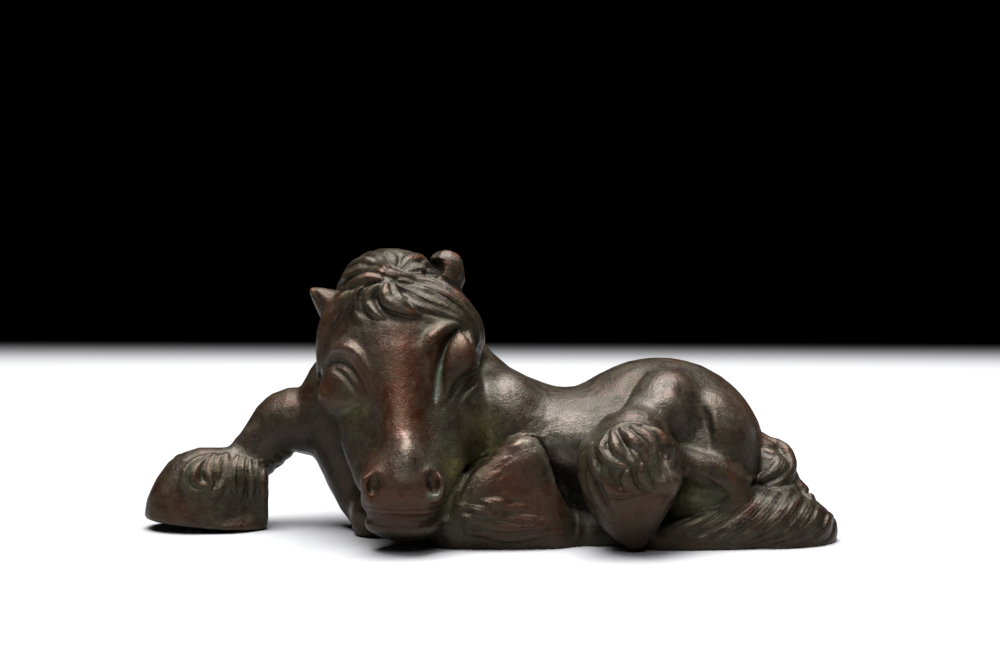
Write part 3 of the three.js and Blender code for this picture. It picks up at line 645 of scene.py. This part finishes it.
for k in range(hidden["pollLocks"]):
    lean = k / (hidden["pollLocks"] - 1) - 0.5
    fan.append([(-17 + 7 * lean, 45), (-17 + 11 * lean, 40), (-16.5 + 15 * lean, 34 + 3 * abs(lean))])
addLocks(fan, 2.8, 0.5, ends=(0.5, 0.3), groove=0.6)
skin.renew()
strands = []
for k in range(hidden["tailLocks"]):
    strands.append([(42 + 2.6 * k, 12 - 1.3 * k), (45.5 + 2.4 * k, 8.2 - 1.1 * k), (50 + 1.9 * k, 3.6 - 0.5 * k)])
addLocks(strands, 2.6, 0.45, ends=(0.6, 0.4))
heel = []
for k in range(hidden["heelLocks"]):
    drop = 0.8 * math.sin(4.0 * k)
    heel.append([(-42.5 - 1.9 * k, 15.2 - 0.25 * k), (-43.2 - 1.95 * k, 11.5), (-43.4 - 2.05 * k, 7.2 + drop)])
addLocks(heel, 2.1, 0.5, ends=(0.4, 0.3))
hind = []
for k in range(hidden["hindLocks"]):
    hind.append([(30 - 0.8 * k, 1.4 + 1.5 * k), (26.5 - 0.5 * k, 1.2 + 1.5 * k), (22.5 + 0.3 * k, 1.4 + 1.4 * k)])
addLocks(hind, 2.0, 0.45, ends=(0.4, 0.3))
skin.renew()
addGrooves([[(19.5, 7.6), (19.0, 4.5), (19.2, 1.0)]], 1.4, 0.4)
skin.renew()
aim["from"] = "photo"
print("hidden sides carved")


def thinned(piece):
    # merges the edges that shape the skin least, so flat places get fewer faces
    count = sum(len(polygon.vertices) - 2 for polygon in piece.data.polygons)
    decimate = piece.modifiers.new("fewerFaces", "DECIMATE")
    decimate.ratio = casting["triangles"] / count
    applied(piece)


combed = KDTree(len(skin.points))
for k, point in enumerate(skin.points):
    combed.insert(point, k)
combed.balance()
thinned(piece)
piece.data.polygons.foreach_set("use_smooth", [True] * len(piece.data.polygons))
skin = Skin(piece)
flatBase = skin.points[:, 2] < 0.02
skin.relax(casting["settling"])
skin.points[flatBase, 2] = 0.0
skin.renew()
nearest = np.array([combed.find(point)[1] for point in skin.points])
hairCover, strandSide = hairCover[nearest], strandSide[nearest]
skinTree = skin.tree()
print("skin thinned to", len(piece.data.polygons), "faces")

# What the finish follows: hollows, worn high places, and tints laid on along listed strokes.
wear = {
    "fineRounds": 3,  # smoothing rounds that show the fine hollows and edges
    "broadRounds": 24,
    "rays": 12,  # directions tried for how far a place lies open
    "reach": 0.009,  # m
}


def bulge(rounds):
    # how far each point stands out of the smoothed skin, mm: above 0 on ridges, below in hollows
    smoothed = skin.points
    for _ in range(rounds):
        smoothed = 0.4 * smoothed + 0.6 * skin.around(smoothed)
    return np.einsum("ij,ij->i", skin.points - smoothed, skin.normals)


def openness():
    # share of the directions round each normal that meet nothing near
    spiral = np.arange(wear["rays"]) + 0.5
    lift = np.sqrt(1 - spiral / wear["rays"])
    turn = spiral * math.pi * (3 - math.sqrt(5))
    rays = np.stack([np.cos(turn) * np.sqrt(1 - lift * lift), np.sin(turn) * np.sqrt(1 - lift * lift), lift], 1)
    out = np.zeros(len(skin.points))
    helper = np.where(np.abs(skin.normals[:, 2:]) < 0.9, [[0.0, 0.0, 1.0]], [[1.0, 0.0, 0.0]])
    side = np.cross(skin.normals, helper)
    side /= np.linalg.norm(side, axis=1, keepdims=True)
    up = np.cross(skin.normals, side)
    starts = (skin.points + 0.12 * skin.normals) * mm
    for x, y, z in rays:
        lines = x * side + y * up + z * skin.normals
        for k in range(len(starts)):
            if skinTree.ray_cast(Vector(starts[k]), Vector(lines[k]), wear["reach"])[0] is None:
                out[k] += 1
    return out / wear["rays"]


def saved(name, values, low=0.0, high=1.0):
    layer = piece.data.attributes.new(name, "FLOAT", "POINT")
    layer.data.foreach_set("value", np.clip(values, low, high).astype(np.float32))


def brushed(strokes):
    # strokes are (width in mm, strength, path): how strongly a tint lies on each point
    tint = np.zeros(len(skin.points))
    for width, strength, path in strokes:
        if len(path) == 1:
            path = [path[0], (path[0][0] + 1, path[0][1] + 1)]
        near, side, share = nearPath(*onSkin(path), width)
        tint[near] = np.maximum(tint[near], strength * np.exp(-((side / (0.5 * width)) ** 2)))
    return skin.spread(tint, 4)


fine, broad = bulge(wear["fineRounds"]), bulge(wear["broadRounds"])
openShare = skin.spread(openness(), 2)
print("hollows and edges found")

tints = {
    "reddish": [
        (8, 1.0, [(398, 345), (400, 385), (402, 425)]),
        (6, 0.6, [(343, 352), (356, 366), (366, 384)]),
        (5, 0.7, [(325, 388), (330, 396)]),
        (5, 0.6, [(437, 338), (432, 360), (430, 385)]),
        (6, 0.7, [(465, 350)]),
        (10, 0.6, [(372, 470), (372, 500), (400, 503), (432, 500), (440, 478)]),
        (9, 0.7, [(520, 455), (505, 475), (520, 500), (540, 505)]),
        (8, 0.6, [(745, 395), (758, 425)]),
        (8, 0.5, [(660, 500), (640, 505), (622, 495)]),
        (7, 0.6, [(262, 400), (272, 392)]),
        (6, 0.4, [(160, 490), (165, 505), (185, 510)]),
        (7, 0.5, [(330, 305), (325, 330)]),
    ],
    "green": [
        (9, 0.6, [(470, 395), (480, 410), (470, 440), (452, 470)]),
        (7, 0.5, [(345, 405), (350, 412)]),
        (6, 0.6, [(450, 480), (452, 500), (455, 525)]),
        (5, 0.7, [(366, 513), (400, 517), (440, 515)]),
        (6, 0.6, [(199, 484), (215, 487), (232, 488)]),
        (6, 0.7, [(536, 447), (560, 444), (589, 446)]),
        (7, 0.7, [(672, 505), (690, 500), (712, 500)]),
        (6, 0.5, [(470, 318), (440, 325)]),
        (8, 0.5, [(590, 530), (600, 540)]),
        (8, 0.35, [(500, 400), (520, 430)]),
        (6, 0.5, [(620, 470), (640, 475), (655, 470)]),
    ],
    "yellowGreen": [
        (5, 0.9, [(485, 425), (489, 440), (486, 450), (478, 458)]),
        (5, 0.8, [(458, 465), (452, 480), (450, 490)]),
        (4, 0.5, [(360, 408), (350, 410)]),
        (5, 0.5, [(684, 498), (692, 496)]),
    ],
    "paleGreen": [
        (0.8, 0.5, [(456, 333), (448, 345), (442, 362)]),
        (1.2, 0.9, [(441, 366), (438, 380), (435, 398)]),
        (1.2, 0.8, [(429, 494), (435, 496), (440, 490)]),
        # along the belly ledge: pale green patina, partly a painted highlight on its edge
        (1.2, 0.5, [(536, 446), (556, 441), (589, 441)]),
        (1.0, 0.5, [(544, 458), (561, 494), (572, 518)]),
    ],
    "copper": [
        (1.4, 0.6, [(408, 309), (414, 312)]),
        (1.6, 0.7, [(452, 252), (458, 256)]),
        (1.4, 0.6, [(311, 289), (314, 292)]),
        (1.6, 0.5, [(621, 464), (625, 466)]),
        (1.4, 0.55, [(645, 452), (647, 458)]),
        (2.0, 0.5, [(681, 470), (684, 476)]),
        (2.2, 0.5, [(660, 432), (664, 440)]),
        (2.0, 0.6, [(729, 474), (734, 480)]),
        (2.0, 0.5, [(178, 509), (186, 506)]),
        (2.2, 0.5, [(411, 257), (424, 256)]),
        (2.0, 0.4, [(200, 481), (206, 484)]),
        (2.0, 0.5, [(455, 290), (463, 299)]),
    ],
    # painted highlights: a lighter colour laid where the light catches the forms; the stroke under the belly is painted
    # light in its shaded recess
    "paintedLight": [
        (5, 0.7, [(408, 438), (410, 450), (402, 457)]),
        (7, 0.5, [(388, 322), (386, 340)]),
        (9, 0.45, [(505, 385), (520, 400), (535, 415)]),
        (9, 1.0, [(556, 462), (572, 490), (584, 510)]),
        (6, 0.9, [(552, 432), (570, 431), (588, 434)]),
        (10, 0.7, [(735, 386), (751, 403), (761, 425)]),
        (6, 0.5, [(620, 448), (645, 448)]),
        (2, 1.0, [(534, 447), (556, 441), (592, 441)]),
        (7, 0.6, [(650, 385), (652, 400)]),
        (6, 0.6, [(688, 410), (697, 440)]),
        (5, 0.8, [(670, 466), (674, 474)]),
        (5, 0.8, [(512, 452), (524, 445)]),
        (7, 0.4, [(238, 446), (250, 436)]),
        (6, 0.5, [(340, 352), (348, 354)]),
    ],
}
for name, strokes in tints.items():
    saved(name, brushed(strokes))
saved("crevice", 0.5 - fine / 0.12)
saved("highEdge", 0.5 + fine / 0.12)
saved("broadHollow", 0.5 - broad / 0.9)
saved("broadHigh", 0.5 + broad / 0.9)
saved("openSky", openShare)
saved("hair", skin.spread(hairCover, 1))
saved("strand", strandSide, -3.0, 3.0)
print("finish laid out")


# Finish


def linear(hexColour):
    # sRGB hex to linear RGBA
    parts = [int(hexColour[k : k + 2], 16) / 255 for k in (1, 3, 5)]
    return tuple(c / 12.92 if c <= 0.04045 else ((c + 0.055) / 1.055) ** 2.4 for c in parts) + (1.0,)


def addNode(tree, kind, settings=None, links=None):
    # adds a node: settings are its properties or socket values, links are {socket: source socket}
    node = tree.nodes.new(kind)
    for key, value in (settings or {}).items():
        if isinstance(key, str) and hasattr(node, key):
            setattr(node, key, value)
        else:
            node.inputs[key].default_value = value
    for key, source in (links or {}).items():
        tree.links.new(source, node.inputs[key])
    return node


def newMaterial(name):
    material = bpy.data.materials.new(name)
    material.use_nodes = True
    material.node_tree.nodes.clear()
    return material, material.node_tree


# Cast bronze under a dark brown patina and old wax: half metallic and half mineral, so it is dark
# where it faces the floor and softly shiny where it faces the light, warm on worn forms, green in
# the hollows, with the fine pitting of a casting and chased lines along the hair.
# Some of its highlights are painted: a lighter colour is laid where they fall, and in the shaded recess under the
# belly.
bronze = {
    "colours": {
        # the ground colour, also left showing in shut-in hollows as painted shade
        "deep": "#0d0a08",
        "brown": "#251c14",
        "worn": "#3c3225",
        "reddish": "#481f08",
        "green": "#343524",
        "yellowGreen": "#67633a",
        "paleGreen": "#6d786c",
        "copper": "#8f5133",
        # dust specks, and the lighter colour of the painted highlights
        "dustAndPaintedLight": "#625a52",
    },
    "patterns": {  # width of one cloud in mm, detail, roughness
        "clouds": (2.6, 4.0, 0.6),
        "wide": (9.0, 2.0, 0.6),
        "grain": (0.45, 3.0, 0.7),
        "specks": (0.9, 3.0, 0.6),
        "dents": (2.0, 2.0, 0.5),
    },
    "coats": [  # colour, place on the skin and its range, pattern and its range, least and most cover
        # where the skin is shut in, this coat leaves the near-black deep colour: dark patina in the hollows, deepened
        # into painted shade in the recesses and between the locks
        ("brown", "openSky", 0.1, 0.8, "clouds", 0.2, 0.5, 0.6, 1.0),
        ("worn", "broadHigh", 0.5, 0.95, "clouds", 0.3, 0.7, 0.2, 0.8),
        ("reddish", "openSky", 0.5, 0.9, "wide", 0.5, 0.68, 0.0, 0.25),
        ("reddish", "reddish", 0.0, 1.0, "clouds", 0.25, 0.6, 0.6, 1.0),
        ("reddish", "highEdge", 0.6, 0.95, "wide", 0.35, 0.6, 0.0, 0.35),
        ("green", "openSky", 0.2, 0.7, "clouds", 0.42, 0.62, 0.0, 0.4),
        ("green", "crevice", 0.6, 0.9, "wide", 0.38, 0.62, 0.1, 0.7),
        ("green", "green", 0.0, 1.0, "clouds", 0.35, 0.6, 0.3, 1.0),
        ("yellowGreen", "yellowGreen", 0.0, 1.0, "specks", 0.35, 0.6, 0.2, 0.8),
        ("paleGreen", "paleGreen", 0.1, 1.0, "specks", 0.3, 0.6, 0.3, 0.9),
        ("copper", "copper", 0.3, 1.0, "specks", 0.3, 0.6, 0.3, 0.9),
        # painted highlights, and painted light in the belly recess, in a lighter colour
        ("dustAndPaintedLight", "paintedLight", 0.0, 1.0, "specks", 0.3, 0.7, 0.1, 0.7),
        ("dustAndPaintedLight", "openSky", 0.6, 0.9, "grain", 0.52, 0.75, 0.0, 0.22),
    ],
    "metallic": 0.5,
    "specular": 0.35,
    "roughness": (0.4, 0.56),
    "polish": 0.08,  # how much smoother worn edges and the places of painted light are
    "relief": {"grain": 0.075, "specks": 0.06, "dents": 0.08},  # mm
    "hairLine": 0.75,  # mm from one chased line to the next
    "hairDepth": 0.03,  # mm
}


def patinatedBronze():
    material, tree = newMaterial("patinatedBronze")
    place = addNode(tree, "ShaderNodeTexCoord").outputs["Object"]
    pattern = {}
    for name, (width, detail, rough) in bronze["patterns"].items():
        settings = {"Scale": 1 / (width * mm), "Detail": detail, "Roughness": rough}
        pattern[name] = addNode(tree, "ShaderNodeTexNoise", settings, {"Vector": place}).outputs["Fac"]
    colour = None
    for coat, where, low, high, cloud, thin, thick, least, most in bronze["coats"]:
        brush = addNode(tree, "ShaderNodeAttribute", {"attribute_name": where})
        brush = addNode(tree, "ShaderNodeMapRange", {"From Min": low, "From Max": high}, {"Value": brush.outputs["Fac"]})
        patchy = {"From Min": thin, "From Max": thick, "To Min": least, "To Max": most}
        patchy = addNode(tree, "ShaderNodeMapRange", patchy, {"Value": pattern[cloud]})
        cover = {"operation": "MULTIPLY"}
        cover = addNode(tree, "ShaderNodeMath", cover, {0: brush.outputs[0], 1: patchy.outputs[0]})
        laid = {"data_type": "RGBA", 6: linear(bronze["colours"]["deep"]), 7: linear(bronze["colours"][coat])}
        under = {6: colour} if colour else {}
        colour = addNode(tree, "ShaderNodeMix", laid, {0: cover.outputs[0]} | under).outputs[2]
    dull, shiny = bronze["roughness"][1], bronze["roughness"][0]
    wax = {"From Min": 0.35, "From Max": 0.65, "To Min": shiny, "To Max": dull}
    wax = addNode(tree, "ShaderNodeMapRange", wax, {"Value": pattern["clouds"]})
    rubbed = addNode(tree, "ShaderNodeAttribute", {"attribute_name": "highEdge"})
    polish = {"From Min": 0.5, "From Max": 0.9, "To Min": 0.0, "To Max": bronze["polish"]}
    polish = addNode(tree, "ShaderNodeMapRange", polish, {"Value": rubbed.outputs["Fac"]})
    wax = addNode(tree, "ShaderNodeMath", {"operation": "SUBTRACT"}, {0: wax.outputs[0], 1: polish.outputs[0]})
    # the places of painted light are also made glossier
    paintedLightSpots = addNode(tree, "ShaderNodeAttribute", {"attribute_name": "paintedLight"})
    gloss = {"operation": "MULTIPLY_ADD", 1: -bronze["polish"]}
    wax = addNode(tree, "ShaderNodeMath", gloss, {0: paintedLightSpots.outputs["Fac"], 2: wax.outputs[0]})
    # chased lines: a wave across each lock, drawn only where there is hair
    strand = addNode(tree, "ShaderNodeAttribute", {"attribute_name": "strand"})
    phase = {"operation": "MULTIPLY", 1: 2 * math.pi / bronze["hairLine"]}
    wave = addNode(tree, "ShaderNodeMath", phase, {0: strand.outputs["Fac"]})
    wave = addNode(tree, "ShaderNodeMath", {"operation": "COSINE"}, {0: wave.outputs[0]})
    hair = addNode(tree, "ShaderNodeAttribute", {"attribute_name": "hair"})
    lines = addNode(tree, "ShaderNodeMath", {"operation": "MULTIPLY"}, {0: wave.outputs[0], 1: hair.outputs["Fac"]})
    height = {"operation": "MULTIPLY", 1: bronze["hairDepth"] / 2}
    height = addNode(tree, "ShaderNodeMath", height, {0: lines.outputs[0]}).outputs[0]
    for name, depth in bronze["relief"].items():
        added = {"operation": "MULTIPLY_ADD", 1: depth}
        height = addNode(tree, "ShaderNodeMath", added, {0: pattern[name], 2: height}).outputs[0]
    bumped = addNode(tree, "ShaderNodeBump", {"Strength": 1.0, "Distance": mm}, {"Height": height})
    shader = addNode(
        tree,
        "ShaderNodeBsdfPrincipled",
        {"Metallic": bronze["metallic"], "Specular IOR Level": bronze["specular"]},
        {"Base Color": colour, "Roughness": wax.outputs[0], "Normal": bumped.outputs["Normal"]},
    )
    addNode(tree, "ShaderNodeOutputMaterial", None, {"Surface": shader.outputs["BSDF"]})
    return material


piece.data.materials.append(patinatedBronze())
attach(piece, "root")
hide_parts("horse")
print("horse finished")

# Floor, background and light: white paper lit from above, in a dark room; the paper's colour fades to black towards its
# far edge, a painted falloff of the light
studio = {
    "paper": 0.3,  # m, half the side of the sheet
    "litTo": 0.272,  # m from the middle, where the painted light on the paper has faded to black
    "fade": 0.064,  # m
    "lean": 0.025,  # how much the painted edge of the light runs off to the right
    "paperColour": "#a2a2a4",
    "lights": {  # power in W, place and size in m
        "softTop": (14.0, (-0.02, 0.02, 0.58), (0.6, 0.4)),
        "softFront": (0.85, (0.02, -0.4, 0.46), (0.26, 0.16)),
    },
}


def makeFloor():
    shape = bmesh.new()
    bmesh.ops.create_grid(shape, x_segments=2, y_segments=2, size=studio["paper"])
    mesh = bpy.data.meshes.new("studioFloor")
    shape.to_mesh(mesh)
    shape.free()
    floor = bpy.data.objects.new("studioFloor", mesh)
    scene.collection.objects.link(floor)
    material, tree = newMaterial("whitePaper")
    place = addNode(tree, "ShaderNodeTexCoord")
    axes = addNode(tree, "ShaderNodeSeparateXYZ", None, {0: place.outputs["Object"]})
    shear = {"operation": "MULTIPLY_ADD", 1: studio["lean"]}
    far = addNode(tree, "ShaderNodeMath", shear, {0: axes.outputs["X"], 2: axes.outputs["Y"]})
    powers = []
    for source in (axes.outputs["X"], far.outputs[0]):
        size = addNode(tree, "ShaderNodeMath", {"operation": "ABSOLUTE"}, {0: source})
        powers.append(addNode(tree, "ShaderNodeMath", {"operation": "POWER", 1: 8.0}, {0: size.outputs[0]}).outputs[0])
    both = addNode(tree, "ShaderNodeMath", {"operation": "ADD"}, {0: powers[0], 1: powers[1]})
    reach = addNode(tree, "ShaderNodeMath", {"operation": "POWER", 1: 1 / 8}, {0: both.outputs[0]})
    # painted falloff of the light: the paper's own colour fades to black beyond litTo
    end = studio["litTo"]
    fade = {"interpolation_type": "SMOOTHERSTEP", "From Min": end - studio["fade"], "From Max": end}
    fade |= {"To Min": 1.0, "To Max": 0.0}
    lit = addNode(tree, "ShaderNodeMapRange", fade, {"Value": reach.outputs[0]})
    colours = {"data_type": "RGBA", 6: (0, 0, 0, 1), 7: linear(studio["paperColour"])}
    colour = addNode(tree, "ShaderNodeMix", colours, {0: lit.outputs[0]})
    shader = addNode(tree, "ShaderNodeBsdfDiffuse", None, {"Color": colour.outputs[2]})
    addNode(tree, "ShaderNodeOutputMaterial", None, {"Surface": shader.outputs["BSDF"]})
    mesh.materials.append(material)


def makeLight(name, power, place, size, aim=(0, 0, 0.02), colour=(1, 1, 1)):
    lamp = bpy.data.lights.new(name, "AREA")
    lamp.shape = "RECTANGLE"
    lamp.size, lamp.size_y = size
    lamp.energy = power
    lamp.color = colour
    light = bpy.data.objects.new(name, lamp)
    light.location = place
    light.rotation_euler = (Vector(aim) - Vector(place)).to_track_quat("-Z", "Y").to_euler()
    scene.collection.objects.link(light)


makeFloor()
for name, light in studio["lights"].items():
    makeLight(name, *light)
world = bpy.data.worlds.new("darkRoom")
world.use_nodes = True
world.node_tree.nodes["Background"].inputs["Color"].default_value = (0, 0, 0, 1)
scene.world = world
scene.view_settings.view_transform = "Standard"
print("studio set")
